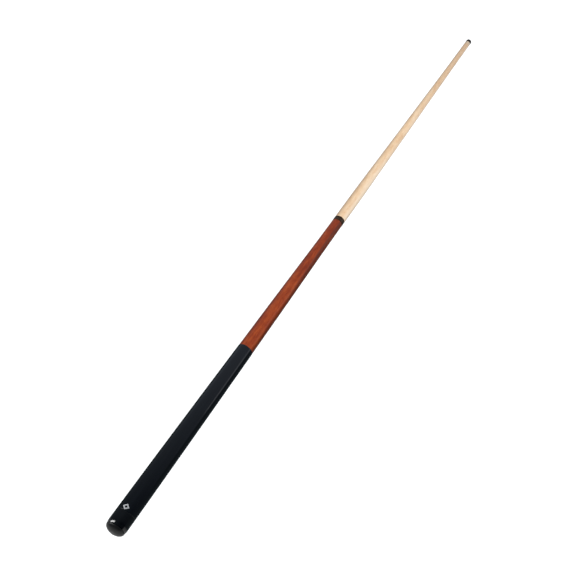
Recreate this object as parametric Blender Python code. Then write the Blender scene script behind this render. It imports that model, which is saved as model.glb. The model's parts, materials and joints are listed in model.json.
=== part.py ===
"""A two-piece pool cue that lies along +X, in metres.

The centre of the bumper's flat end is the origin, the X axis is the cue's axis and +Z is up. Every
piece is turned about that axis. The shaft unscrews from the butt on the joint pin, and the bumper
unscrews from the butt cap on its own screw, so both screws and what they turn in have real threads.
"""

import math

import bmesh
import bpy

GAP = 0.0003  # between two pieces that touch
SHARP_ANGLE = math.radians(35)  # an edge that bends more than this is drawn as an edge
SEGMENTS = 24  # round the large turned pieces
THREAD_SEGMENTS = 16  # round the pieces that carry a thread
ARC_STEPS = 5  # in the cap's rounded corner
DOME_STEPS = 8  # in the bumper's end
TIP_STEPS = 5  # in the tip's dome
TAPER_STEPS = 4  # between two points of a taper
FINE_STEPS = 60  # the same, where a taper's radius is looked up
QUARTERS = 4  # of a thread's pitch: two along its root, then two along its crest

# Stations along the cue, from the bumper's end
BUMPER_END = 0.008
CAP_END = 0.032
HANDLE_END = 0.374
FOREARM_END = 0.727
JOINT_FACE = 0.735
RING_END = 0.738
SHAFT_END = 1.452
FERRULE_END = 1.461
PAD_END = 1.4642
CUE_LENGTH = 1.473

# Outside radii, from the butt to the tip
BUMPER_FLAT_RADIUS = 0.004
BUMPER_RADIUS = 0.0153
BUMPER_DOME_END = 0.0072
BUMPER_DOME_BULGE = 1.2  # a little over 1 makes the dome slimmer than an ellipse
BUMPER_EDGE = 0.0004
BUTT_RADIUS = 0.01625
CAP_CORNER_LENGTH = 0.0057
CAP_CORNER_DROP = 0.00095
CAP_CORNER_BULGE = 1.6  # makes the corner a gentle slope, flatter than an ellipse
HANDLE_FRONT_RADIUS = 0.0140
FOREARM_REAR_RADIUS = 0.0137
FOREARM_FRONT_RADIUS = 0.0106
COLLAR_RADIUS = 0.01085
SHAFT_FRONT_RADIUS = 0.0063
FERRULE_RADIUS = 0.00635
TIP_RADIUS = 0.0065
TIP_BARREL = 0.0001  # that the tip swells between its two edges
TIP_DOME_RADIUS = 0.0092

# Each taper is a smooth curve through these (station, radius) points
CAP_CORNER_END = BUMPER_END + GAP + CAP_CORNER_LENGTH
HANDLE_TAPER = [
    (CAP_CORNER_END, BUTT_RADIUS),
    (0.110, 0.0159),
    (0.250, 0.0150),
    (HANDLE_END, HANDLE_FRONT_RADIUS),
]
FOREARM_TAPER = [
    (HANDLE_END, FOREARM_REAR_RADIUS),
    (0.500, 0.0127),
    (0.640, 0.0112),
    (FOREARM_END, FOREARM_FRONT_RADIUS),
]
SHAFT_TAPER = [
    (RING_END, COLLAR_RADIUS),
    (0.830, 0.0108),
    (1.000, 0.0093),
    (1.200, 0.0077),
    (1.350, 0.0066),
    (SHAFT_END, SHAFT_FRONT_RADIUS),
]

# The bumper's screw, a 3/8-16 thread, and what it goes through
BUMPER_PITCH = 0.0015875
BUMPER_THREAD_CREST = 0.00476
BUMPER_THREAD_ROOT = 0.0038
BUMPER_SCREW_END = 0.0305
SCREW_HEAD_RADIUS = 0.0065
SCREW_HEAD_START = 0.0053
SCREW_HEAD_END = 0.0085
WASHER_RADIUS = 0.0075
WASHER_START = SCREW_HEAD_END + GAP
WASHER_END = 0.0103
SPIGOT_RADIUS = 0.009
SPIGOT_END = 0.015
BUSHING_START = 0.016
BUSHING_END = 0.029
BUSHING_RADIUS = 0.008

# The butt's inside: tenons, the weight bolt and the screw between handle and forearm
CAP_TENON_START = 0.020
CAP_TENON_RADIUS = 0.0125
WEIGHT_RADIUS = 0.00635
WEIGHT_START = 0.045
WEIGHT_END = 0.115
WEIGHT_BORE_END = 0.120
HEX_FLATS = 0.00635
HEX_DEPTH = 0.008
BUTT_TENON_START = 0.3463
BUTT_TENON_RADIUS = 0.0095
STUD_RADIUS = 0.004
STUD_START = 0.310
STUD_END = 0.410
STUD_BORE_SPARE = 0.004  # past each end of the stud

# The joint between butt and shaft: a 3/8-10 pin in a brass insert
JOINT_PITCH = 0.00254
PIN_CREST = 0.00476
PIN_ROOT = 0.00375
PIN_START = 0.692
PIN_THREAD_END = 0.7625
PIN_END = 0.7655
PIN_NOSE_LENGTH = 0.001
PIN_NOSE_RADIUS = 0.003
PIN_END_RADIUS = 0.0015
COLLAR_TENON_RADIUS = 0.0082
INSERT_RADIUS = 0.007
INSERT_THREAD_END = 0.7616
INSERT_END = 0.7657
SHAFT_BORE_END = 0.770
FERRULE_TENON_RADIUS = 0.0045
FERRULE_TENON_END = 1.459

CHAMFER = 0.0004
DRILL_POINT = 0.5  # depth of a blind hole's cone over its radius


def curve_through(points, steps):
    """Catmull-Rom samples through (station, radius) points, the two ends included."""
    samples = [points[0]]
    last = len(points) - 1
    for i in range(last):
        before, here = points[max(i - 1, 0)], points[i]
        there, after = points[i + 1], points[min(i + 2, last)]
        span = there[0] - here[0]
        slope_here = (there[1] - before[1]) / (there[0] - before[0])
        slope_there = (after[1] - here[1]) / (after[0] - here[0])
        for k in range(1, steps + 1):
            t = k / steps
            radius = (
                here[1] * (2 * t**3 - 3 * t**2 + 1)
                + there[1] * (3 * t**2 - 2 * t**3)
                + slope_here * span * (t**3 - 2 * t**2 + t)
                + slope_there * span * (t**3 - t**2)
            )
            samples.append((here[0] + span * t, radius))
    return samples


def radius_at(points, station):
    """The radius of a smooth taper where one piece of it is cut off."""
    samples = curve_through(points, FINE_STEPS)
    for (x0, r0), (x1, r1) in zip(samples, samples[1:]):
        if x0 <= station <= x1:
            return r0 + (r1 - r0) * (station - x0) / (x1 - x0)
    return samples[-1][1]


def taper(points, start, end):
    """The part of a smooth taper between two stations, both cut ends included."""
    inner = [p for p in curve_through(points, TAPER_STEPS) if start < p[0] < end]
    return [(start, radius_at(points, start)), *inner, (end, radius_at(points, end))]


def arc(start, end, steps, bulge):
    """A quarter turn from start, where it leaves radially, to end, where it runs along X. It is an
    ellipse's with a bulge of 1, and nearer to a straight line with a larger one."""
    (x0, r0), (x1, r1) = start, end
    angles = [math.pi / 2 * k / steps for k in range(steps + 1)]
    return [
        (x1 - (x1 - x0) * math.cos(a) ** bulge, r0 + (r1 - r0) * math.sin(a) ** bulge)
        for a in angles
    ]


class Turning:
    """A surface turned about the X axis. It is walked from ring to ring, and a ring may be a point."""

    def __init__(self, segments=SEGMENTS):
        self.mesh = bmesh.new()
        self.segments = segments
        self.first = self.last = None
        self.station = self.radius = 0.0

    def point(self, x, r, step):
        turn = 2 * math.pi * step / self.segments
        return self.mesh.verts.new((x, r * math.cos(turn), r * math.sin(turn)))

    def face(self, corners):
        unique = [c for i, c in enumerate(corners) if c not in corners[:i]]
        if len(unique) > 2:
            self.mesh.faces.new(unique)

    def new_ring(self, x, r):
        if r == 0:
            return [self.point(x, 0, 0)] * self.segments
        return [self.point(x, r, step) for step in range(self.segments)]

    def bridge(self, ring_a, ring_b):
        for here in range(self.segments):
            there = (here + 1) % self.segments
            self.face([ring_a[here], ring_a[there], ring_b[there], ring_b[here]])

    def rings(self, *outline):
        """Goes on through each (station, radius) of the outline."""
        for x, r in outline:
            ring = self.new_ring(x, r)
            if self.last:
                self.bridge(self.last, ring)
            else:
                self.first = ring
            self.last, self.station, self.radius = ring, x, r
        return self

    def thread(self, end, crest, pitch):
        """Goes on along +X to end in a right-hand thread that rises from the last ring's radius to
        the crest and fades out at both ends. Its helix passes through the origin, and the ridges
        of an inside thread lie in the roots of an outside one, so both of one pitch are in mesh."""
        start, root = self.station, self.radius
        start_ring, end_ring = self.last, self.new_ring(end, root)
        least = 0.2 * pitch / QUARTERS  # no sliver narrower than this beside an end ring
        outside = crest > root
        made = {}

        def corner(step, row):
            if step == self.segments:
                step, row = 0, row + QUARTERS
            x = pitch * (row / QUARTERS + step / self.segments)
            if x < start + least:
                return start_ring[step]
            if x > end - least:
                return end_ring[step]
            if (step, row) not in made:
                fade = min(1, (x - start) / pitch, (end - x) / pitch)
                on_ridge = (row % QUARTERS >= QUARTERS / 2) == outside
                rise = fade * (crest - root) if on_ridge else 0
                made[step, row] = self.point(x, root + rise, step)
            return made[step, row]

        first_row = math.floor(start / pitch * QUARTERS) - QUARTERS - 1
        last_row = math.ceil(end / pitch * QUARTERS) + 1
        for row in range(first_row, last_row):
            for step in range(self.segments):
                self.face(
                    [
                        corner(step, row),
                        corner(step + 1, row),
                        corner(step + 1, row + 1),
                        corner(step, row + 1),
                    ]
                )
        self.last, self.station = end_ring, end
        return self

    def closed(self):
        """Joins the last ring to the first, for a piece with a hole right through it."""
        self.bridge(self.last, self.first)
        return self

    def named(self, name, material, group):
        """Makes the object, with its origin on the cue's axis at its own rear end."""
        rear = min(v.co.x for v in self.mesh.verts)
        bmesh.ops.translate(self.mesh, verts=self.mesh.verts, vec=(-rear, 0, 0))
        bmesh.ops.recalc_face_normals(self.mesh, faces=self.mesh.faces)
        data = bpy.data.meshes.new(name)
        self.mesh.to_mesh(data)
        self.mesh.free()
        data.shade_smooth()
        data.set_sharp_from_angle(angle=SHARP_ANGLE)
        data.materials.append(material)
        made = bpy.data.objects.new(name, data)
        bpy.context.collection.objects.link(made)
        made.parent = group
        made.location.x = rear - group.location.x
        return made


def finish(name, colour, roughness, metallic=0.0):
    material = bpy.data.materials.new(name)
    material.use_nodes = True
    shader = material.node_tree.nodes["Principled BSDF"]
    shader.inputs["Base Color"].default_value = (*colour, 1.0)
    shader.inputs["Roughness"].default_value = roughness
    shader.inputs["Metallic"].default_value = metallic
    return material


def assembly(name, station):
    """An empty on the cue's axis that carries the pieces that move together."""
    group = bpy.data.objects.new(name, None)
    group.location.x = station
    bpy.context.collection.objects.link(group)
    return group


def clear_scene():
    for old in list(bpy.data.objects):
        bpy.data.objects.remove(old, do_unlink=True)


def make_bumper(group, rubber, steel):
    """The rubber bumper is moulded round the head of its screw and a washer that spreads its load."""
    hole = BUMPER_THREAD_CREST + GAP
    pocket_radius = SCREW_HEAD_RADIUS + GAP
    pocket_start = SCREW_HEAD_START - GAP
    washer_room = WASHER_RADIUS + GAP
    dome = arc(
        (0, BUMPER_FLAT_RADIUS),
        (BUMPER_DOME_END, BUMPER_RADIUS),
        DOME_STEPS,
        BUMPER_DOME_BULGE,
    )
    Turning().rings(
        (0, 0),
        *dome,
        (BUMPER_END - BUMPER_EDGE, BUMPER_RADIUS),
        (BUMPER_END, BUMPER_RADIUS - BUMPER_EDGE),
        (BUMPER_END, SPIGOT_RADIUS),
        (SPIGOT_END - CHAMFER, SPIGOT_RADIUS),
        (SPIGOT_END, SPIGOT_RADIUS - CHAMFER),
        (SPIGOT_END, hole),
        (WASHER_END + GAP, hole),
        (WASHER_END + GAP, washer_room),
        (SCREW_HEAD_END, washer_room),
        (SCREW_HEAD_END, pocket_radius),
        (pocket_start, pocket_radius),
        (pocket_start, 0),
    ).named("bumper", rubber, group)
    Turning().rings(
        (WASHER_START, hole),
        (WASHER_END, hole),
        (WASHER_END, WASHER_RADIUS),
        (WASHER_START, WASHER_RADIUS),
    ).closed().named("bumper_washer", steel, group)
    Turning(THREAD_SEGMENTS).rings(
        (SCREW_HEAD_START, 0),
        (SCREW_HEAD_START, SCREW_HEAD_RADIUS - CHAMFER),
        (SCREW_HEAD_START + CHAMFER, SCREW_HEAD_RADIUS),
        (SCREW_HEAD_END, SCREW_HEAD_RADIUS),
        (SCREW_HEAD_END, BUMPER_THREAD_CREST),
        (SPIGOT_END, BUMPER_THREAD_CREST),
        (BUSHING_START, BUMPER_THREAD_ROOT),
    ).thread(BUMPER_SCREW_END - CHAMFER, BUMPER_THREAD_CREST, BUMPER_PITCH).rings(
        (BUMPER_SCREW_END, BUMPER_THREAD_ROOT - CHAMFER),
        (BUMPER_SCREW_END, 0),
    ).named("bumper_screw", steel, group)


def make_bumper_bushing(group, brass):
    """The brass bushing in the butt cap that the bumper's screw turns in."""
    bore = BUMPER_THREAD_CREST + GAP
    Turning(THREAD_SEGMENTS).rings(
        (BUSHING_START, bore + CHAMFER),
        (BUSHING_START + CHAMFER, bore),
    ).thread(BUSHING_END - CHAMFER, BUMPER_THREAD_ROOT + GAP, BUMPER_PITCH).rings(
        (BUSHING_END, bore + CHAMFER),
        (BUSHING_END, BUSHING_RADIUS - CHAMFER),
        (BUSHING_END - CHAMFER, BUSHING_RADIUS),
        (BUSHING_START + CHAMFER, BUSHING_RADIUS),
        (BUSHING_START, BUSHING_RADIUS - CHAMFER),
    ).closed().named("bumper_bushing", brass, group)


def make_butt_cap(group, black_plastic):
    """The glossy cap at the butt's end. The bumper's spigot and the handle's tenon go into it."""
    start = BUMPER_END + GAP
    recess = SPIGOT_RADIUS + GAP
    recess_end = SPIGOT_END + 2 * GAP
    bore = BUSHING_RADIUS + GAP
    socket = CAP_TENON_RADIUS + GAP
    corner = arc(
        (start, BUTT_RADIUS - CAP_CORNER_DROP),
        (CAP_CORNER_END, BUTT_RADIUS),
        ARC_STEPS,
        CAP_CORNER_BULGE,
    )
    Turning().rings(
        (start, recess),
        *corner,
        *taper(HANDLE_TAPER, CAP_CORNER_END + GAP, CAP_END),
        (CAP_END, socket),
        (CAP_TENON_START, socket),
        (CAP_TENON_START, bore),
        (recess_end, bore),
        (recess_end, recess),
    ).closed().named("butt_cap", black_plastic, group)


def make_handle(group, black_wood):
    """The black handle, bored for the weight bolt behind and for the forearm's tenon in front."""
    start = CAP_END + GAP
    bolt_bore = WEIGHT_RADIUS + GAP
    bushing_bore = BUSHING_RADIUS + GAP
    tenon_bore = BUTT_TENON_RADIUS + GAP
    stud_bore = STUD_RADIUS + GAP
    stud_bore_end = STUD_START - STUD_BORE_SPARE
    socket_end = BUTT_TENON_START - GAP
    Turning().rings(
        (WEIGHT_BORE_END + DRILL_POINT * bolt_bore, 0),
        (WEIGHT_BORE_END, bolt_bore),
        (BUSHING_END + 2 * GAP, bolt_bore),
        (BUSHING_END + 2 * GAP, bushing_bore),
        (CAP_TENON_START + GAP, bushing_bore),
        (CAP_TENON_START + GAP, CAP_TENON_RADIUS),
        (start, CAP_TENON_RADIUS),
        *taper(HANDLE_TAPER, start, HANDLE_END),
        (HANDLE_END, tenon_bore),
        (socket_end, tenon_bore),
        (socket_end, stud_bore),
        (stud_bore_end, stud_bore),
        (stud_bore_end - DRILL_POINT * stud_bore, 0),
    ).named("handle", black_wood, group)


def make_weight_bolt(group, steel):
    """The steel weight in the handle, with a hexagon socket that a long key reaches."""
    bolt = (
        Turning()
        .rings(
            (WEIGHT_START, 0),
            (WEIGHT_START, WEIGHT_RADIUS - 2 * CHAMFER),
            (WEIGHT_START + 2 * CHAMFER, WEIGHT_RADIUS),
            (WEIGHT_END - 2 * CHAMFER, WEIGHT_RADIUS),
            (WEIGHT_END, WEIGHT_RADIUS - 2 * CHAMFER),
            (WEIGHT_END, 0),
        )
        .named("weight_bolt", steel, group)
    )
    corner_radius = HEX_FLATS / math.sqrt(3)
    bpy.ops.mesh.primitive_cylinder_add(
        vertices=6,
        radius=corner_radius,
        depth=2 * HEX_DEPTH,
        location=(WEIGHT_START, 0, 0),
        rotation=(0, math.pi / 2, 0),
    )
    cutter = bpy.context.object
    cutter.name = "hexagon_cutter"
    cutter.display_type = "WIRE"
    cutter.hide_render = True
    socket = bolt.modifiers.new("hexagon_socket", "BOOLEAN")
    socket.operation = "DIFFERENCE"
    socket.object = cutter


def make_stud(group, steel):
    """The screw that draws the forearm's tenon into the handle."""
    Turning(THREAD_SEGMENTS).rings(
        (STUD_START, 0),
        (STUD_START, STUD_RADIUS - 2 * CHAMFER),
        (STUD_START + 2 * CHAMFER, STUD_RADIUS),
        (STUD_END - 2 * CHAMFER, STUD_RADIUS),
        (STUD_END, STUD_RADIUS - 2 * CHAMFER),
        (STUD_END, 0),
    ).named("handle_joint_screw", steel, group)


def make_forearm(group, red_wood):
    """The red-brown forearm, with a tenon at each end and a blind hole in each tenon."""
    start = HANDLE_END + GAP
    stud_bore = STUD_RADIUS + GAP
    stud_bore_end = STUD_END + STUD_BORE_SPARE
    pin_bore = PIN_CREST + GAP
    pin_bore_end = PIN_START - 2 * GAP
    Turning().rings(
        (stud_bore_end + DRILL_POINT * stud_bore, 0),
        (stud_bore_end, stud_bore),
        (BUTT_TENON_START, stud_bore),
        (BUTT_TENON_START, BUTT_TENON_RADIUS),
        (start, BUTT_TENON_RADIUS),
        *taper(FOREARM_TAPER, start, FOREARM_END),
        (FOREARM_END, COLLAR_TENON_RADIUS),
        (JOINT_FACE - GAP, COLLAR_TENON_RADIUS),
        (JOINT_FACE - GAP, pin_bore),
        (pin_bore_end, pin_bore),
        (pin_bore_end - DRILL_POINT * pin_bore, 0),
    ).named("forearm", red_wood, group)


def make_ring(name, start, end, group, black_plastic):
    """A black ring over a tenon at the joint."""
    bore = COLLAR_TENON_RADIUS + GAP
    Turning().rings(
        (start, bore),
        (start, COLLAR_RADIUS - CHAMFER / 2),
        (start + CHAMFER / 2, COLLAR_RADIUS),
        (end - CHAMFER / 2, COLLAR_RADIUS),
        (end, COLLAR_RADIUS - CHAMFER / 2),
        (end, bore),
    ).closed().named(name, black_plastic, group)


def make_joint_pin(group, steel):
    """The pin that is fixed in the forearm and stands out of it as a screw."""
    Turning(THREAD_SEGMENTS).rings(
        (PIN_START, 0),
        (PIN_START, PIN_CREST - CHAMFER),
        (PIN_START + CHAMFER, PIN_CREST),
        (JOINT_FACE, PIN_CREST),
        (JOINT_FACE + 2 * GAP, PIN_ROOT),
    ).thread(PIN_THREAD_END, PIN_CREST, JOINT_PITCH).rings(
        (PIN_END - PIN_NOSE_LENGTH, PIN_NOSE_RADIUS),
        (PIN_END, PIN_END_RADIUS),
        (PIN_END, 0),
    ).named("joint_pin", steel, group)


def make_shaft(group, maple):
    """The maple shaft, bored behind for the insert and with a tenon in front for the ferrule."""
    rear_face = JOINT_FACE + GAP
    insert_bore = INSERT_RADIUS + GAP
    insert_seat = INSERT_END + GAP
    pin_room = PIN_CREST + 2 * GAP
    Turning().rings(
        (SHAFT_BORE_END + DRILL_POINT * pin_room, 0),
        (SHAFT_BORE_END, pin_room),
        (insert_seat, pin_room),
        (insert_seat, insert_bore),
        (rear_face, insert_bore),
        (rear_face, COLLAR_TENON_RADIUS),
        (RING_END + GAP, COLLAR_TENON_RADIUS),
        *taper(SHAFT_TAPER, RING_END + GAP, SHAFT_END),
        (SHAFT_END, FERRULE_TENON_RADIUS),
        (FERRULE_TENON_END, FERRULE_TENON_RADIUS),
        (FERRULE_TENON_END, 0),
    ).named("shaft", maple, group)


def make_shaft_insert(group, brass):
    """The brass insert that the joint pin turns in."""
    bore = PIN_CREST + GAP
    start = JOINT_FACE + 2 * GAP
    Turning(THREAD_SEGMENTS).rings(
        (start, bore + CHAMFER),
        (start + CHAMFER, bore),
    ).thread(INSERT_THREAD_END, PIN_ROOT + GAP, JOINT_PITCH).rings(
        (INSERT_END, bore),
        (INSERT_END, INSERT_RADIUS - CHAMFER),
        (INSERT_END - CHAMFER, INSERT_RADIUS),
        (start, INSERT_RADIUS),
    ).closed().named("shaft_insert", brass, group)


def make_ferrule(group, cream_plastic):
    """The cream ferrule, a cap over the shaft's tenon."""
    start = SHAFT_END + GAP
    bore = FERRULE_TENON_RADIUS + GAP
    Turning().rings(
        (FERRULE_TENON_END + GAP, 0),
        (FERRULE_TENON_END + GAP, bore),
        (start, bore),
        (start, SHAFT_FRONT_RADIUS),
        (FERRULE_END, FERRULE_RADIUS),
        (FERRULE_END, 0),
    ).named("ferrule", cream_plastic, group)


def make_tip(group, black_fibre, black_leather):
    """The fibre pad and the leather tip, domed to a radius of its own and a little barrel-shaped."""
    pad_start = FERRULE_END + GAP
    Turning().rings(
        (pad_start, 0),
        (pad_start, FERRULE_RADIUS),
        (PAD_END, FERRULE_RADIUS),
        (PAD_END, 0),
    ).named("tip_pad", black_fibre, group)
    start = PAD_END + GAP
    shoulder_radius = TIP_RADIUS - TIP_BARREL
    centre = CUE_LENGTH - TIP_DOME_RADIUS
    half_angle = math.asin(shoulder_radius / TIP_DOME_RADIUS)
    angles = [half_angle * k / TIP_STEPS for k in range(TIP_STEPS, 0, -1)]
    dome = [
        (centre + TIP_DOME_RADIUS * math.cos(a), TIP_DOME_RADIUS * math.sin(a))
        for a in angles
    ]
    Turning().rings(
        (start, 0),
        (start, shoulder_radius),
        ((start + dome[0][0]) / 2, TIP_RADIUS),
        *dome,
        (CUE_LENGTH, 0),
    ).named("cue_tip", black_leather, group)


def make_cue():
    clear_scene()
    rubber = finish("matte_rubber", (0.055, 0.057, 0.056), 0.75)
    steel = finish("steel", (0.56, 0.57, 0.58), 0.28, 1.0)
    brass = finish("brass", (0.78, 0.57, 0.28), 0.32, 1.0)
    black_gloss = finish("black_gloss", (0.012, 0.013, 0.016), 0.12)
    black_lacquer = finish("black_lacquer", (0.010, 0.012, 0.015), 0.10)
    red_wood = finish("red_brown_wood", (0.30, 0.052, 0.022), 0.16)
    collar_black = finish("collar_black", (0.028, 0.018, 0.015), 0.30)
    maple = finish("maple", (0.80, 0.60, 0.40), 0.42)
    cream = finish("ferrule_cream", (0.72, 0.60, 0.47), 0.35)
    fibre = finish("black_fibre", (0.020, 0.016, 0.012), 0.60)
    leather = finish("black_leather", (0.022, 0.018, 0.013), 0.85)

    bumper_group = assembly("bumper_assembly", 0)
    make_bumper(bumper_group, rubber, steel)

    butt_group = assembly("butt_assembly", BUMPER_END)
    make_bumper_bushing(butt_group, brass)
    make_butt_cap(butt_group, black_gloss)
    make_weight_bolt(butt_group, steel)
    make_handle(butt_group, black_lacquer)
    make_stud(butt_group, steel)
    make_forearm(butt_group, red_wood)
    make_ring("joint_collar", FOREARM_END + GAP, JOINT_FACE, butt_group, collar_black)
    make_joint_pin(butt_group, steel)

    shaft_group = assembly("shaft_assembly", JOINT_FACE)
    make_ring("shaft_collar", JOINT_FACE + GAP, RING_END, shaft_group, collar_black)
    make_shaft_insert(shaft_group, brass)
    make_shaft(shaft_group, maple)
    make_ferrule(shaft_group, cream)
    make_tip(shaft_group, fibre, leather)


make_cue()
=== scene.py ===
"""Looks of a two-piece pool cue, in metres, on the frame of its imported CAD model.

Every turned piece takes its outline from the CAD node that it stands for. The outline is made
smooth, its corners are rounded, and it is turned again in fine steps. The screws and what they turn
in get finer threads of the same pitch, in mesh with each other. All materials are made of nodes.
"""

import json
import math

import bmesh
import bpy
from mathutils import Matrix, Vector


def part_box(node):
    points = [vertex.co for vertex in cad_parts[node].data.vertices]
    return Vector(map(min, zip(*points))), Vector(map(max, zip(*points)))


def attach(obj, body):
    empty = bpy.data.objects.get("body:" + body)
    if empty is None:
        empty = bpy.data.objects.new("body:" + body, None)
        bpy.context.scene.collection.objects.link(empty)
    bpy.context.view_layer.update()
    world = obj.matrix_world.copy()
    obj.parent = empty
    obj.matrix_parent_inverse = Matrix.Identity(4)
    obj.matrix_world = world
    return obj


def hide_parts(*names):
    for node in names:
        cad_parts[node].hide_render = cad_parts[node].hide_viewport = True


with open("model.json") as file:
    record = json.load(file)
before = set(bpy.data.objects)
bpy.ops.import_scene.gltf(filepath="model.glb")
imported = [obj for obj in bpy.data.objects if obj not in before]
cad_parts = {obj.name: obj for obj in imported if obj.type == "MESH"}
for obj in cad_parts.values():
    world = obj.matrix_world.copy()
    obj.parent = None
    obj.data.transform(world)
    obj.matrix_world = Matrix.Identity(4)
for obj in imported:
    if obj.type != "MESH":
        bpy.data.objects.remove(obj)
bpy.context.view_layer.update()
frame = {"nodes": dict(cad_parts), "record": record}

CAD_SEGMENTS = 24  # round the CAD's turned pieces
SEGMENTS = 96  # round the pieces made here
THREAD_SEGMENTS = 72
SAME_PLACE = 1e-6  # two points nearer than this are one
ON_PLANE = 1e-7  # a point this near a plane lies in it
STRAIGHT_WITHIN = 2e-6  # a point this near the line through its neighbours isn't a bend
BEYOND = 1e-5  # far enough past an edge not to be on it
PLAIN_SHARP, THREAD_SHARP = math.radians(60), math.radians(28)  # bends drawn as edges
SMOOTH_BELOW = math.radians(24)  # an outline's gentler bends are made into smooth curves
CURVE_STEPS = 6  # between two of a smooth curve's points
CORNER_STEPS = 4
CORNER_SHARE = 0.4  # of a side, the most that the rounding of one corner takes

# The threads: both screws are 3/8 in thick, and their ridges are rounded off a little
BUMPER_PITCH = 0.0015875
JOINT_PITCH = 0.00254
THREAD_CREST = 0.00476
BUMPER_ROOT = 0.0038
JOINT_ROOT = 0.00375
THREAD_GAP = 0.0003
RIDGE_CENTRE, VALLEY_CENTRE = 0.625, 0.125  # of an outside thread, in pitches
CREST_HALF, ROOT_HALF = 0.07, 0.11  # half the flat on a ridge and in a valley, in pitches
SLIVER = 0.03  # no face of a thread is narrower than this beside its end rings, in pitches
EDGE = 0.0004  # the bevel on a metal piece's edges
PIN_NOSE = 0.003  # from the end of the pin's thread to the pin's end
PIN_NOSE_SHAPE = [  # (distance from the pin's end, share of the root radius)
    (0.0022, 1.0),
    (0.0011, 0.86),
    (0.0004, 0.62),
    (0.0, 0.36),
]

# The emblem, a lozenge on the handle's upper side
EMBLEM_FROM_CAP = 0.0056
EMBLEM_HALF_LENGTH = 0.0048
EMBLEM_HALF_WIDTH = 0.0056
EMBLEM_STEPS = 14  # along each of its sides
EMBLEM_OPENING = 0.48  # of its size
EMBLEM_MIDDLE = 0.74  # between the opening and the outline
INK_TOP, INK_BOTTOM = 0.00003, -0.0002  # from the lacquer's surface
HANDLE_SKIN = 0.0135  # the handle's outside is wider than this, and its bores are narrower

# The woods, with painted shade on one side of the forearm, and painted light and shade on the shaft
# the side of the forearm that gets painted shade, and of the shaft that gets painted light
PAINTED_SHADE_SIDE = PAINTED_LIGHT_SIDE = (0.0, -0.92, -0.39)  # of the forearm, and of the shaft
PAINTED_SHADE_WIDENS = (0.50, 0.66)  # from the first station to the second
# stations between which the shaft's painted light and shade fade out
PAINTED_LIGHT_FADES = (0.88, 1.04)
FOREARM_REAR_RADIUS, FOREARM_FRONT_RADIUS = 0.0137, 0.0106

# The studio
FLOOR_HEIGHT = -0.35
FLOOR_RINGS = (2.0, 5.0)  # in the flat middle
FLOOR_RADIUS = 14.0
FLOOR_BEND = 4.0  # the radius of the curve between floor and wall
BEND_STEPS = 12
FLOOR_SEGMENTS = 64
WALL_TOP = 9.0
CAMERA_PLACE = (-0.32965, -0.46432, 1.09607)
CAMERA_TILT, CAMERA_TURN = math.radians(41.8218), math.radians(-61.5228)
CAMERA_LENS, CAMERA_SENSOR = 50.69, 36.0


# ---------------------------------------------------------------- turned shapes


def cad_outline(node):
    """The CAD node's half section as (station, radius) points, in order."""
    half_facet = math.pi / CAD_SEGMENTS
    across = Vector((0, -math.sin(half_facet), math.cos(half_facet)))
    outward = Vector((0, math.cos(half_facet), math.sin(half_facet)))
    mesh = bmesh.new()
    mesh.from_mesh(frame["nodes"][node].data)
    bmesh.ops.remove_doubles(mesh, verts=mesh.verts, dist=SAME_PLACE)
    bmesh.ops.bisect_plane(
        mesh, geom=[*mesh.verts, *mesh.edges, *mesh.faces], plane_co=(0, 0, 0), plane_no=across
    )
    links = {}
    for edge in mesh.edges:
        ends = [v.co for v in edge.verts]
        on_cut = all(abs(co.dot(across)) < ON_PLANE for co in ends)
        if on_cut and all(co.dot(outward) > -ON_PLANE for co in ends):
            keys = [(round(co.x, 6), round(max(co.dot(outward), 0), 6)) for co in ends]
            if keys[0] != keys[1]:
                links.setdefault(keys[0], set()).add(keys[1])
                links.setdefault(keys[1], set()).add(keys[0])
    mesh.free()
    axis_ends = sorted(key for key in links if key[1] < SAME_PLACE and len(links[key]) == 1)
    here = axis_ends[0] if axis_ends else min(links)
    order, seen = [here], {here}
    while True:
        onward = [key for key in sorted(links[here]) if key not in seen]
        if not onward:
            break
        here = onward[0]
        seen.add(here)
        order.append(here)
    scale = 1 / math.cos(half_facet)
    return [Vector((x, r * scale)) for x, r in order], not axis_ends


def turn_at(before, here, after):
    """How sharply an outline turns at one of its points, in radians."""
    return (here - before).angle(after - here, 0)


def simplified(points, loop):
    """The outline without the points that lie in the middle of a straight run."""
    count = len(points)
    kept = []
    for i, here in enumerate(points):
        if not loop and i in (0, count - 1):
            kept.append(here)
            continue
        before = kept[-1] if kept else points[-1]
        after = points[(i + 1) % count]
        chord = after - before
        off_line = abs(chord.cross(here - before)) / chord.length
        if off_line > STRAIGHT_WITHIN:
            kept.append(here)
    return kept


def rounded(points, loop, corner_radius):
    """The outline with its sharp corners rounded, and its gentle ones made into smooth curves."""
    count = len(points)
    out = []
    sharp = []
    for i, here in enumerate(points):
        ends = not loop and i in (0, count - 1)
        turn = 0 if ends else turn_at(points[i - 1], here, points[(i + 1) % count])
        sharp.append(ends or turn > SMOOTH_BELOW)
    for i, here in enumerate(points):
        before, after = points[i - 1], points[(i + 1) % count]
        if not sharp[i] or (not loop and i in (0, count - 1)):
            out.append((here, sharp[i]))
            continue
        room = CORNER_SHARE * min((here - before).length, (after - here).length)
        cut = min(corner_radius, room)
        back, on = (before - here).normalized(), (after - here).normalized()
        start, end = here + back * cut, here + on * cut
        support = min(cut, room - cut)
        if support > BEYOND:
            out.append((start + back * support, True))
        for k in range(CORNER_STEPS + 1):
            t = k / CORNER_STEPS
            bend = (1 - t) ** 2 * start + 2 * t * (1 - t) * here + t**2 * end
            out.append((bend, True))
        if support > BEYOND:
            out.append((end + on * support, True))
    return smooth_runs(out, loop)


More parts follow.
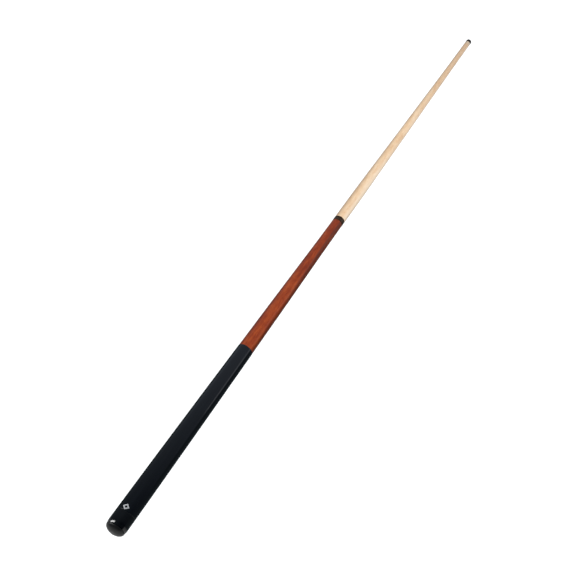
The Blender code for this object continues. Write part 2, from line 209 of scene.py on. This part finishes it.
def smooth_runs(marked, loop):
    """Fills the runs between gentle points with a curve. Corners' own points stay as they are."""
    count = len(marked)
    out = []
    for i, (here, fixed) in enumerate(marked):
        out.append(here)
        if i == count - 1 and not loop:
            break
        there, next_fixed = marked[(i + 1) % count]
        if fixed and next_fixed:
            continue
        before = marked[i - 1][0] if not fixed else here
        after = marked[(i + 2) % count][0] if not next_fixed else there
        span = (there - here).length
        out_slope = (there - before).normalized() * span
        in_slope = (after - here).normalized() * span
        for k in range(1, CURVE_STEPS):
            t = k / CURVE_STEPS
            out.append(
                here * (2 * t**3 - 3 * t**2 + 1)
                + there * (3 * t**2 - 2 * t**3)
                + out_slope * (t**3 - 2 * t**2 + t)
                + in_slope * (t**3 - t**2)
            )
    return out


class Turning:
    """A surface turned about the X axis, walked from ring to ring. A ring may be a point."""

    def __init__(self, segments=SEGMENTS):
        self.mesh = bmesh.new()
        self.segments = segments
        self.first = self.last = None
        self.station = self.radius = 0.0

    def point(self, x, r, step):
        turn = 2 * math.pi * step / self.segments
        return self.mesh.verts.new((x, r * math.cos(turn), r * math.sin(turn)))

    def face(self, corners):
        unique = [c for i, c in enumerate(corners) if c not in corners[:i]]
        if len(unique) > 2:
            self.mesh.faces.new(unique)

    def new_ring(self, x, r):
        if r < SAME_PLACE:
            return [self.point(x, 0, 0)] * self.segments
        return [self.point(x, r, step) for step in range(self.segments)]

    def bridge(self, ring_a, ring_b):
        for here in range(self.segments):
            there = (here + 1) % self.segments
            self.face([ring_a[here], ring_a[there], ring_b[there], ring_b[here]])

    def rings(self, *outline):
        for x, r in outline:
            ring = self.new_ring(x, r)
            if self.last:
                self.bridge(self.last, ring)
            else:
                self.first = ring
            self.last, self.station, self.radius = ring, x, r
        return self

    def thread(self, end, crest, pitch):
        """A right-hand thread from the last ring to end. Its helix passes through the origin, and
        an inside thread's ridges lie in the roots of an outside one."""
        start, root = self.station, self.radius
        start_ring, end_ring = self.last, self.new_ring(end, root)
        outside = crest > root
        ridge, valley = RIDGE_CENTRE, VALLEY_CENTRE
        if not outside:
            ridge, valley = valley, ridge
        phases = sorted(
            [ridge - CREST_HALF, ridge + CREST_HALF, valley - ROOT_HALF, valley + ROOT_HALF]
        )
        least = SLIVER * pitch
        made = {}

        def corner(step, row):
            if step == self.segments:
                step, row = 0, row + len(phases)
            turn, k = divmod(row, len(phases))
            x = pitch * (turn + phases[k] + step / self.segments)
            if x < start + least:
                return start_ring[step]
            if x > end - least:
                return end_ring[step]
            if (step, row) not in made:
                fade = min(1, (x - start) / pitch, (end - x) / pitch)
                on_ridge = abs(phases[k] - ridge) < abs(phases[k] - valley)
                rise = fade * (crest - root) if on_ridge else 0
                made[step, row] = self.point(x, root + rise, step)
            return made[step, row]

        first_row = (math.floor(start / pitch) - 2) * len(phases)
        last_row = (math.ceil(end / pitch) + 1) * len(phases)
        for row in range(first_row, last_row):
            for step in range(self.segments):
                near = [corner(step, row), corner(step + 1, row)]
                far = [corner(step + 1, row + 1), corner(step, row + 1)]
                self.face(near + far)
        self.last, self.station = end_ring, end
        return self

    def closed(self):
        self.bridge(self.last, self.first)
        return self

    def named(self, name, material, node, sharp=PLAIN_SHARP):
        """Makes the piece, which stands for a CAD node, rides on its body and takes its slot."""
        bmesh.ops.recalc_face_normals(self.mesh, faces=self.mesh.faces)
        data = bpy.data.meshes.new(name)
        self.mesh.to_mesh(data)
        self.mesh.free()
        data.shade_smooth()
        data.set_sharp_from_angle(angle=sharp)
        data.materials.append(material)
        made = bpy.data.objects.new(name, data)
        bpy.context.collection.objects.link(made)
        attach(made, body_of[node])
        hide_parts(node)
        return made


body_of = {
    node: body
    for body, nodes in frame["record"]["behaviour"]["bodies"].items()
    for node in nodes
}


def turned(name, node, material, corner_radius):
    """Makes a piece from its CAD node's outline, and keeps its smoothing between the node's ends."""
    points, loop = cad_outline(node)
    points = rounded(simplified(points, loop), loop, corner_radius)
    low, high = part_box(node)
    shape = Turning().rings(*((min(max(x, low.x), high.x), r) for x, r in points))
    if loop:
        shape.closed()
    return shape.named(name, material, node)


# ---------------------------------------------------------------- materials


class Nodes:
    """A material's node tree, with short names for the nodes that it uses."""

    def __init__(self, name):
        self.material = bpy.data.materials.new(name)
        self.material.use_nodes = True
        self.tree = self.material.node_tree
        self.shader = self.tree.nodes["Principled BSDF"]

    def new(self, kind, **values):
        node = self.tree.nodes.new("ShaderNode" + kind)
        for key, value in values.items():
            setattr(node, key, value)
        return node

    def feed(self, socket, value):
        if isinstance(value, bpy.types.NodeSocket):
            self.tree.links.new(value, socket)
        else:
            socket.default_value = value

    def place(self, scale, shift=(0, 0, 0)):
        """The piece's own coordinates in metres, stretched by scale."""
        mapping = self.new("Mapping")
        self.feed(mapping.inputs["Vector"], self.new("TexCoord").outputs["Object"])
        mapping.inputs["Scale"].default_value = scale
        mapping.inputs["Location"].default_value = shift
        return mapping.outputs["Vector"]

    def noise(self, vector, detail=3.0, roughness=0.55, distortion=0.0):
        node = self.new("TexNoise")
        self.feed(node.inputs["Vector"], vector)
        node.inputs["Scale"].default_value = 1.0
        node.inputs["Detail"].default_value = detail
        node.inputs["Roughness"].default_value = roughness
        node.inputs["Distortion"].default_value = distortion
        return node.outputs["Fac"]

    def station(self):
        """The distance along the cue, in metres."""
        split = self.new("SeparateXYZ")
        self.feed(split.inputs["Vector"], self.new("TexCoord").outputs["Object"])
        return split.outputs["X"]

    def across(self, side):
        """How far a point lies from the cue's axis towards a side, in metres."""
        dot = self.new("VectorMath", operation="DOT_PRODUCT")
        self.feed(dot.inputs[0], self.new("TexCoord").outputs["Object"])
        dot.inputs[1].default_value = side
        return dot.outputs["Value"]

    def rescale(self, value, low, high, to_low=0.0, to_high=1.0):
        node = self.new("MapRange")
        for socket, given in zip(node.inputs, (value, low, high, to_low, to_high)):
            self.feed(socket, given)
        return node.outputs["Result"]

    def combine(self, a, b, operation="ADD"):
        """Two values added together, or put through another operation."""
        node = self.new("Math", operation=operation)
        self.feed(node.inputs[0], a)
        self.feed(node.inputs[1], b)
        return node.outputs["Value"]

    def mix(self, factor, a, b, how="MIX"):
        node = self.new("Mix", data_type="RGBA", blend_type=how)
        self.feed(node.inputs["Factor"], factor)
        for socket, value in zip([s for s in node.inputs if s.type == "RGBA"], (a, b)):
            self.feed(socket, (*value, 1.0) if isinstance(value, tuple) else value)
        return next(s for s in node.outputs if s.type == "RGBA")

    def ramp(self, value, *stops):
        node = self.new("ValToRGB")
        self.feed(node.inputs["Fac"], value)
        elements = node.color_ramp.elements
        while len(elements) < len(stops):
            elements.new(0.5)
        for element, (at, colour) in zip(elements, stops):
            element.position = at
            element.color = (*colour, 1.0)
        return node.outputs["Color"]

    def bump(self, height, strength, distance):
        node = self.new("Bump")
        self.feed(node.inputs["Height"], height)
        node.inputs["Strength"].default_value = strength
        node.inputs["Distance"].default_value = distance
        return node.outputs["Normal"]

    def finish(self, **values):
        for key, value in values.items():
            self.feed(self.shader.inputs[key.replace("_", " ")], value)
        return self.material


def lacquered_black(name):
    """Black paint under a thick clear coat: a trace of the wood's grain, dust and fine scratches."""
    n = Nodes(name)
    grain = n.noise(n.place((25, 700, 700)), detail=4)
    colour = n.ramp(grain, (0.35, (0.0006, 0.0012, 0.0020)), (0.70, (0.0017, 0.0028, 0.0044)))
    speck = n.rescale(n.noise(n.place((900, 900, 900)), detail=1), 0.74, 0.80)
    colour = n.mix(speck, colour, (0.014, 0.016, 0.018))
    smudge = n.noise(n.place((28, 60, 60), (0.3, 0.1, 0)), detail=4)
    scratch = n.rescale(n.noise(n.place((60, 2600, 2600)), detail=2), 0.60, 0.75)
    rough = n.combine(n.rescale(smudge, 0.35, 0.75, 0.07, 0.17), n.rescale(scratch, 0, 1, 0, 0.10))
    peel = n.noise(n.place((260, 420, 420)), detail=2)
    height = n.combine(peel, n.rescale(grain, 0, 1, 0, 0.6))
    return n.finish(
        Base_Color=colour,
        Roughness=rough,
        Normal=n.bump(height, 0.10, 0.00012),
        Coat_Weight=1.0,
        Coat_Roughness=0.05,
        Coat_IOR=1.5,
        Specular_IOR_Level=0.08,
    )


def glossy_plastic(name, colour, worn, rough, coat):
    """Moulded and polished plastic with faint turning marks and handling smudges."""
    n = Nodes(name)
    cloud = n.noise(n.place((160, 160, 160)), detail=4)
    base = n.mix(n.rescale(cloud, 0.45, 0.8), colour, worn)
    marks = n.noise(n.place((5200, 40, 40)), detail=2)
    smudge = n.noise(n.place((70, 90, 90), (0.2, 0.4, 0)), detail=3)
    return n.finish(
        Base_Color=base,
        Roughness=n.rescale(smudge, 0.3, 0.8, rough * 0.7, rough * 1.5),
        Normal=n.bump(n.combine(marks, cloud), 0.05, 0.0001),
        Coat_Weight=coat,
        Coat_Roughness=0.07,
        Specular_IOR_Level=0.25,
    )


def red_brown_wood(name, rear, front):
    """Stained wood under clear lacquer: long figure, cross ripple, fine fibres and short dark pores,
    with painted shade as a dark streak along the side towards -Y, a little downwards, wider towards the
    front.
    The wood's rear and front are given as (station, radius)."""
    n = Nodes(name)
    figure = n.noise(n.place((9, 130, 130), (0.1, 0.3, 0.7)), detail=3, distortion=0.6)
    ripple = n.noise(n.place((62, 150, 150), (0.5, 0.2, 0.9)), detail=3, distortion=0.4)
    fibre = n.noise(n.place((26, 1500, 1500)), detail=5, roughness=0.62)
    colour = n.ramp(
        n.combine(n.combine(figure, 0.55, "MULTIPLY"), n.combine(ripple, 0.45, "MULTIPLY")),
        (0.36, (0.190, 0.0245, 0.0040)),
        (0.50, (0.290, 0.0435, 0.0070)),
        (0.64, (0.410, 0.0750, 0.0130)),
    )
    tone = n.rescale(fibre, 0.30, 0.72)
    colour = n.mix(tone, n.mix(0.45, colour, (0.12, 0.014, 0.004)), colour)
    pores = n.rescale(n.noise(n.place((130, 2600, 2600), (0.4, 0, 0)), detail=2), 0.63, 0.72)
    colour = n.mix(n.combine(pores, 0.7, "MULTIPLY"), colour, (0.050, 0.010, 0.004))
    (x0, r0), (x1, r1) = rear, front
    # painted shade: a dark streak along the forearm's side towards -Y, wider towards the front
    side = n.combine(n.across(PAINTED_SHADE_SIDE), n.rescale(n.station(), x0, x1, r0, r1), "DIVIDE")
    side = n.combine(side, n.rescale(figure, 0.3, 0.7, -0.06, 0.06))
    side = n.combine(side, n.rescale(n.station(), *PAINTED_SHADE_WIDENS, 0.0, 0.40))
    painted_shade_streak = n.rescale(side, 0.50, 0.74, 0.0, 0.60)
    colour = n.mix(painted_shade_streak, colour, (0.040, 0.009, 0.0040))
    smudge = n.noise(n.place((30, 70, 70), (0.7, 0.2, 0)), detail=3)
    height = n.combine(fibre, n.combine(pores, -0.8, "MULTIPLY"))
    return n.finish(
        Base_Color=colour,
        Roughness=n.rescale(smudge, 0.3, 0.8, 0.30, 0.46),
        Normal=n.bump(height, 0.12, 0.00012),
        Coat_Weight=0.42,
        Coat_Roughness=0.08,
        Coat_IOR=1.5,
        Specular_IOR_Level=0.15,
    )


def maple_wood(name, shaft_start, shaft_end):
    """Pale maple with a satin finish. Near the joint, painted light makes the side towards -Y paler and
    painted shade makes the other side deeper in colour. It is a little darker and duller where the hand
    slides."""
    n = Nodes(name)
    station = n.station()
    figure = n.noise(n.place((7, 95, 95), (0.6, 0.1, 0.3)), detail=3, distortion=0.8)
    mottle = n.noise(n.place((70, 190, 190), (0.2, 0.6, 0.1)), detail=3, distortion=0.5)
    fibre = n.noise(n.place((20, 1700, 1700)), detail=5, roughness=0.6)
    colour = n.ramp(
        n.combine(n.combine(figure, 0.5, "MULTIPLY"), n.combine(mottle, 0.5, "MULTIPLY")),
        (0.36, (0.730, 0.475, 0.272)),
        (0.50, (0.830, 0.603, 0.386)),
        (0.64, (0.895, 0.705, 0.500)),
    )
    tone = n.rescale(fibre, 0.28, 0.75)
    colour = n.mix(tone, n.mix(0.40, colour, (0.54, 0.34, 0.18)), colour)
    flecks = n.noise(n.place((210, 1900, 1900), (0.1, 0.9, 0)), detail=1)
    flecks = n.rescale(flecks, 0.66, 0.74, 0, 0.6)
    colour = n.mix(flecks, colour, (0.50, 0.30, 0.15))
    # painted light: near the joint the side towards -Y is made paler, and the other side is darkened as
    # painted shade
    side = n.across(PAINTED_LIGHT_SIDE)
    nearness = n.rescale(station, *PAINTED_LIGHT_FADES, 1.0, 0.0)
    pale = n.combine(n.rescale(side, 0.0, 0.006, 0.0, 0.6), nearness, "MULTIPLY")
    colour = n.mix(pale, colour, (0.93, 0.77, 0.59))
    painted_shade_mask = n.combine(n.rescale(side, -0.008, -0.002, 0.35, 0.0), nearness, "MULTIPLY")
    colour = n.mix(painted_shade_mask, colour, (0.60, 0.40, 0.24))
    handled = n.rescale(station, shaft_start, shaft_end, -0.8, 1.0)
    handled = n.combine(handled, n.rescale(mottle, 0.3, 0.7, 0.75, 1.1), "MULTIPLY")
    colour = n.mix(handled, colour, (0.70, 0.66, 0.63), "MULTIPLY")
    height = n.combine(fibre, n.combine(flecks, -0.7, "MULTIPLY"))
    return n.finish(
        Base_Color=colour,
        Roughness=n.rescale(fibre, 0.25, 0.75, 0.36, 0.52),
        Normal=n.bump(height, 0.16, 0.00012),
        Coat_Weight=0.4,
        Coat_Roughness=0.25,
        Specular_IOR_Level=0.4,
    )


def satin_rubber(name):
    """Moulded black rubber: a satin skin with a grey bloom, and scuffs towards its flat end."""
    n = Nodes(name)
    bloom = n.noise(n.place((150, 150, 150)), detail=5, roughness=0.65)
    colour = n.ramp(bloom, (0.30, (0.0022, 0.0024, 0.0026)), (0.75, (0.0056, 0.0058, 0.0058)))
    scuffed = n.rescale(n.station(), 0.0, 0.005, 1.0, 0.0)
    scuff = n.rescale(n.noise(n.place((420, 420, 420), (0, 0.3, 0)), detail=4), 0.46, 0.66)
    scuff = n.combine(scuff, scuffed, "MULTIPLY")
    colour = n.mix(scuff, colour, (0.016, 0.016, 0.015))
    skin = n.noise(n.place((3800, 3800, 3800)), detail=2)
    height = n.combine(skin, n.combine(scuff, 1.5, "MULTIPLY"))
    return n.finish(
        Base_Color=colour,
        Roughness=n.rescale(bloom, 0.3, 0.7, 0.30, 0.42),
        Normal=n.bump(height, 0.15, 0.0001),
        Specular_IOR_Level=0.5,
    )


def cream_ferrule(name):
    """Cream plastic that has yellowed a little, with turning marks and stained scratches."""
    n = Nodes(name)
    cloud = n.noise(n.place((260, 260, 260)), detail=4)
    colour = n.ramp(cloud, (0.30, (0.450, 0.345, 0.245)), (0.70, (0.570, 0.455, 0.330)))
    stain = n.rescale(n.noise(n.place((2600, 300, 300)), detail=3), 0.56, 0.74, 0, 0.5)
    colour = n.mix(stain, colour, (0.36, 0.28, 0.20))
    return n.finish(
        Base_Color=colour,
        Roughness=n.rescale(cloud, 0.3, 0.7, 0.30, 0.46),
        Normal=n.bump(stain, 0.15, 0.0001),
    )


def black_fibre(name):
    """Pressed fibre with thin layers that show as rings."""
    n = Nodes(name)
    layers = n.noise(n.place((4200, 120, 120)), detail=3)
    colour = n.ramp(layers, (0.35, (0.008, 0.007, 0.006)), (0.70, (0.024, 0.020, 0.015)))
    return n.finish(
        Base_Color=colour,
        Roughness=n.rescale(layers, 0.3, 0.7, 0.50, 0.66),
        Normal=n.bump(layers, 0.3, 0.0001),
    )


def black_leather(name):
    """Pressed leather with a fine cell pattern and a rough nap."""
    n = Nodes(name)
    cells = n.new("TexVoronoi", feature="DISTANCE_TO_EDGE")
    n.feed(cells.inputs["Vector"], n.place((1500, 1500, 1500)))
    cells.inputs["Scale"].default_value = 1.0
    nap = n.noise(n.place((900, 900, 900)), detail=4, roughness=0.7)
    colour = n.ramp(nap, (0.30, (0.007, 0.006, 0.005)), (0.75, (0.026, 0.021, 0.016)))
    height = n.combine(n.rescale(cells.outputs["Distance"], 0, 0.3), nap)
    return n.finish(
        Base_Color=colour,
        Roughness=n.rescale(nap, 0.3, 0.7, 0.66, 0.86),
        Normal=n.bump(height, 0.5, 0.00015),
        Specular_IOR_Level=0.3,
    )


def machined_metal(name, low, high, rough):
    """Turned metal: fine tool marks round it and a little tarnish."""
    n = Nodes(name)
    marks = n.noise(n.place((9000, 60, 60)), detail=3)
    tarnish = n.noise(n.place((220, 220, 220)), detail=4)
    colour = n.ramp(tarnish, (0.32, low), (0.68, high))
    return n.finish(
        Base_Color=colour,
        Metallic=1.0,
        Roughness=n.rescale(marks, 0.3, 0.7, rough * 0.7, rough * 1.3),
        Normal=n.bump(marks, 0.12, 0.00006),
    )


def silver_print(name):
    """Silver ink with the uneven cover of a print."""
    n = Nodes(name)
    cover = n.noise(n.place((1600, 1600, 1600)), detail=3)
    colour = n.ramp(cover, (0.30, (0.34, 0.35, 0.36)), (0.65, (0.56, 0.57, 0.58)))
    return n.finish(
        Base_Color=colour,
        Metallic=0.35,
        Roughness=n.rescale(cover, 0.3, 0.7, 0.32, 0.50),
        Normal=n.bump(cover, 0.1, 0.00005),
    )


# ---------------------------------------------------------------- the cue


shaft_low, shaft_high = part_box("shaft")
steel = machined_metal("steel", (0.50, 0.51, 0.53), (0.66, 0.67, 0.68), 0.24)
brass = machined_metal("brass", (0.62, 0.42, 0.17), (0.84, 0.62, 0.30), 0.28)
black_cap = glossy_plastic("cap_gloss", (0.0008, 0.0012, 0.0018), (0.002, 0.0026, 0.0034), 0.10, 1.0)
collar_black = glossy_plastic("collar_gloss", (0.024, 0.012, 0.004), (0.044, 0.021, 0.008), 0.24, 0.15)
lacquer = lacquered_black("black_lacquer_grain")

turned("bumper_rubber", "bumper", satin_rubber("rubber_bloom"), 0.0003)
turned("butt_cap_polished", "butt_cap", black_cap, 0.0002)
turned("handle_lacquered", "handle", lacquer, 0.0004)
rear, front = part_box("handle")[1].x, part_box("joint_collar")[0].x
red_wood = red_brown_wood("red_brown_grain", (rear, FOREARM_REAR_RADIUS), (front, FOREARM_FRONT_RADIUS))
turned("forearm_lacquered", "forearm", red_wood, 0.0003)
turned("joint_collar_polished", "joint_collar", collar_black, 0.0002)
turned("shaft_collar_polished", "shaft_collar", collar_black, 0.0002)
maple = maple_wood("maple_grain", shaft_low.x, shaft_high.x)
turned("shaft_maple", "shaft", maple, 0.0003)
turned("ferrule_cream", "ferrule", cream_ferrule("ferrule_plastic"), 0.0002)
turned("tip_pad_fibre", "tip_pad", black_fibre("fibre_layers"), 0.0002)
turned("cue_tip_leather", "cue_tip", black_leather("leather_nap"), 0.0003)


def make_joint_pin():
    low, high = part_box("joint_pin")
    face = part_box("joint_collar")[1].x
    Turning(THREAD_SEGMENTS).rings(
        (low.x, 0),
        (low.x, THREAD_CREST - EDGE),
        (low.x + EDGE, THREAD_CREST),
        (face, THREAD_CREST),
        (face + 2 * THREAD_GAP, JOINT_ROOT),
    ).thread(high.x - PIN_NOSE, THREAD_CREST, JOINT_PITCH).rings(
        *((high.x - left, share * JOINT_ROOT) for left, share in PIN_NOSE_SHAPE),
        (high.x, 0),
    ).named("joint_pin_thread", steel, "joint_pin", THREAD_SHARP)


def make_bumper_screw():
    low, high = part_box("bumper_screw")
    mesh = frame["nodes"]["bumper_screw"].data
    corners = [(v.co.x, math.hypot(v.co.y, v.co.z)) for v in mesh.vertices]
    head = max(r for x, r in corners)
    head_end = max(x for x, r in corners if r > head - BEYOND)
    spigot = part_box("bumper")[1].x
    thread_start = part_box("bumper_bushing")[0].x
    Turning(THREAD_SEGMENTS).rings(
        (low.x, 0),
        (low.x, head - EDGE),
        (low.x + EDGE, head),
        (head_end, head),
        (head_end, THREAD_CREST),
        (spigot, THREAD_CREST),
        (thread_start, BUMPER_ROOT),
    ).thread(high.x - EDGE, THREAD_CREST, BUMPER_PITCH).rings(
        (high.x, BUMPER_ROOT - EDGE),
        (high.x, 0),
    ).named("bumper_screw_thread", steel, "bumper_screw", THREAD_SHARP)


def make_nut(name, node, pitch, screw_root):
    """A threaded brass sleeve round a screw: its ridges lie in the screw's roots, with a gap."""
    low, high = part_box(node)
    outside = high.y
    bore = THREAD_CREST + THREAD_GAP
    Turning(THREAD_SEGMENTS).rings(
        (low.x, bore + EDGE),
        (low.x + EDGE, bore),
    ).thread(high.x - EDGE, screw_root + THREAD_GAP, pitch).rings(
        (high.x, bore + EDGE),
        (high.x, outside - EDGE),
        (high.x - EDGE, outside),
        (low.x + EDGE, outside),
        (low.x, outside - EDGE),
    ).closed().named(name, brass, node, THREAD_SHARP)


make_joint_pin()
make_bumper_screw()
make_nut("shaft_insert_thread", "shaft_insert", JOINT_PITCH, JOINT_ROOT)
make_nut("bumper_bushing_thread", "bumper_bushing", BUMPER_PITCH, BUMPER_ROOT)
for node in ("bumper_washer", "weight_bolt", "handle_joint_screw"):
    for holder in frame["nodes"][node].material_slots:
        holder.material = steel


def handle_skin():
    """The (station, radius) points along the handle's outside, in order."""
    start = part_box("butt_cap")[1].x + BEYOND
    outline, _ = cad_outline("handle")
    return sorted((p.x, p.y) for p in outline if p.x > start and p.y > HANDLE_SKIN)


def radius_at(outside, x):
    for (x0, r0), (x1, r1) in zip(outside, outside[1:]):
        if x0 <= x <= x1:
            return r0 + (r1 - r0) * (x - x0) / (x1 - x0)
    return outside[0][1]


def make_emblem():
    """A plain silver lozenge with a small lozenge left open in it, printed on the handle."""
    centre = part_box("butt_cap")[1].x + EMBLEM_FROM_CAP
    outside = handle_skin()
    mesh = bmesh.new()

    def lozenge(size, lift):
        corners = [(1, 0), (0, 1), (-1, 0), (0, -1)]
        ring = []
        for (a0, b0), (a1, b1) in zip(corners, corners[1:] + corners[:1]):
            for k in range(EMBLEM_STEPS):
                t = k / EMBLEM_STEPS
                x = centre + (a0 + (a1 - a0) * t) * EMBLEM_HALF_LENGTH * size
                around = (b0 + (b1 - b0) * t) * EMBLEM_HALF_WIDTH * size
                r = radius_at(outside, x)
                turn = around / r
                r += lift
                ring.append(mesh.verts.new((x, r * math.sin(turn), r * math.cos(turn))))
        return ring

    rings = [
        lozenge(1.0, INK_BOTTOM),
        lozenge(1.0, INK_TOP),
        lozenge(EMBLEM_MIDDLE, INK_TOP),
        lozenge(EMBLEM_OPENING, INK_TOP),
        lozenge(EMBLEM_OPENING, INK_BOTTOM),
    ]
    for a, b in zip(rings, rings[1:] + rings[:1]):
        for i in range(len(a)):
            j = (i + 1) % len(a)
            mesh.faces.new([a[i], a[j], b[j], b[i]])
    bmesh.ops.recalc_face_normals(mesh, faces=mesh.faces)
    data = bpy.data.meshes.new("handle_emblem")
    mesh.to_mesh(data)
    mesh.free()
    data.materials.append(silver_print("silver_ink"))
    emblem = bpy.data.objects.new("handle_emblem", data)
    bpy.context.collection.objects.link(emblem)
    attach(emblem, body_of["handle"])


make_emblem()


# ---------------------------------------------------------------- studio


def make_floor():
    """A pale floor that curves up into a wall all round, far from the cue."""
    n = Nodes("studio_paper")
    fleck = n.noise(n.place((3, 3, 3)), detail=3)
    paper = n.ramp(fleck, (0.3, (0.60, 0.60, 0.60)), (0.7, (0.62, 0.62, 0.62)))
    material = n.finish(
        Base_Color=paper,
        Roughness=0.9,
        Specular_IOR_Level=0.1,
        Emission_Color=(1.0, 1.0, 1.0, 1.0),
        Emission_Strength=0.50,
    )
    flat = FLOOR_RADIUS - FLOOR_BEND
    profile = [(radius, 0.0) for radius in (*FLOOR_RINGS, flat)]
    for k in range(1, BEND_STEPS + 1):
        a = math.pi / 2 * k / BEND_STEPS
        profile.append((flat + FLOOR_BEND * math.sin(a), FLOOR_BEND * (1 - math.cos(a))))
    profile.append((FLOOR_RADIUS, WALL_TOP))
    mesh = bmesh.new()
    rings = [[mesh.verts.new((0, 0, FLOOR_HEIGHT))] * FLOOR_SEGMENTS]
    for radius, height in profile:
        turns = [math.tau * s / FLOOR_SEGMENTS for s in range(FLOOR_SEGMENTS)]
        z = FLOOR_HEIGHT + height
        rings.append([mesh.verts.new((radius * math.cos(a), radius * math.sin(a), z)) for a in turns])
    for a, b in zip(rings, rings[1:]):
        for s in range(FLOOR_SEGMENTS):
            t = (s + 1) % FLOOR_SEGMENTS
            corners = [a[s], b[s], b[t], a[t]]
            mesh.faces.new(corners if a is not rings[0] else corners[:3])
    data = bpy.data.meshes.new("studio_floor")
    mesh.to_mesh(data)
    mesh.free()
    data.shade_smooth()
    data.materials.append(material)
    floor = bpy.data.objects.new("studio_floor", data)
    bpy.context.collection.objects.link(floor)
    floor.visible_glossy = False
    floor.visible_diffuse = False
    floor.visible_shadow = False


def make_world():
    """A dim bluish room. Above the horizon it is lightest towards +X, the way the cue points, and
    elsewhere it is darkest towards -Y. Below the horizon it is dark too, except for pale paper
    behind the butt and, towards -Y, ahead of the tip."""
    world = bpy.data.worlds.new("studio_room")
    bpy.context.scene.world = world
    world.use_nodes = True
    tree = world.node_tree
    background = tree.nodes["Background"]
    coordinates = tree.nodes.new("ShaderNodeTexCoord")
    split = tree.nodes.new("ShaderNodeSeparateXYZ")
    tree.links.new(coordinates.outputs["Generated"], split.inputs["Vector"])

    def spread(axis, low, high):
        """How far a direction's X, Y or Z lies between two values, from 0 to 1."""
        node = tree.nodes.new("ShaderNodeMapRange")
        tree.links.new(split.outputs[axis], node.inputs["Value"])
        node.inputs["From Min"].default_value = low
        node.inputs["From Max"].default_value = high
        return node.outputs["Result"]

    def blended(factor, a, b):
        node = tree.nodes.new("ShaderNodeMix")
        node.data_type = "RGBA"
        tree.links.new(factor, node.inputs["Factor"])
        for socket, value in zip([s for s in node.inputs if s.type == "RGBA"], (a, b)):
            if isinstance(value, tuple):
                socket.default_value = (*value, 1.0)
            else:
                tree.links.new(value, socket)
        return next(s for s in node.outputs if s.type == "RGBA")

    dark = (0.06, 0.075, 0.08)
    quiet = blended(spread("Y", -0.70, 0.15), (0.012, 0.015, 0.020), (0.070, 0.085, 0.100))
    above = blended(spread("X", 0.27, 0.55), quiet, (0.36, 0.40, 0.48))
    behind = blended(spread("X", 0.02, 0.24), (0.57, 0.57, 0.57), dark)
    ahead = blended(spread("X", 0.67, 0.75), behind, (0.95, 0.95, 0.95))
    below = blended(spread("Y", -0.15, 0.15), ahead, behind)
    sky = blended(spread("Z", -0.02, 0.03), below, above)
    tree.links.new(sky, background.inputs["Color"])
    background.inputs["Strength"].default_value = 1.0


def add_light(name, kind, location, target, **values):
    data = bpy.data.lights.new(name, kind)
    for key, value in values.items():
        setattr(data, key, value)
    light = bpy.data.objects.new(name, data)
    light.location = location
    aim = Vector(target) - Vector(location)
    light.rotation_mode = "QUATERNION"
    light.rotation_quaternion = aim.to_track_quat("-Z", "Y")
    bpy.context.collection.objects.link(light)
    return light


def make_camera():
    data = bpy.data.cameras.new("camera")
    data.sensor_width = CAMERA_SENSOR
    data.lens = CAMERA_LENS
    data.clip_start, data.clip_end = 0.01, 100.0
    camera = bpy.data.objects.new("camera", data)
    camera.location = CAMERA_PLACE
    camera.rotation_euler = (CAMERA_TILT, 0.0, CAMERA_TURN)
    bpy.context.collection.objects.link(camera)
    bpy.context.scene.camera = camera


make_floor()
make_world()
key = add_light(
    "key",
    "SUN",
    location=(-0.5, -0.45, 0.74),
    target=(0.0, 0.0, 0.0),
    energy=3.6,
    angle=math.radians(30),
)
key.visible_glossy = False
add_light(
    "highlight_box",
    "AREA",
    location=(-0.07, 6.11, 5.13),
    target=(0.01, 0.0, 0.0),
    energy=216.0,
    shape="RECTANGLE",
    size=1.0,
    size_y=6.8,
)
add_light(
    "side_strip",
    "AREA",
    location=(2.6, -2.2, 0.62),
    target=(0.4, 0.0, 0.0),
    energy=2.4,
    shape="RECTANGLE",
    size=2.4,
    size_y=0.30,
)
make_camera()
bpy.context.scene.view_settings.view_transform = "Standard"
bpy.context.scene.view_settings.look = "None"
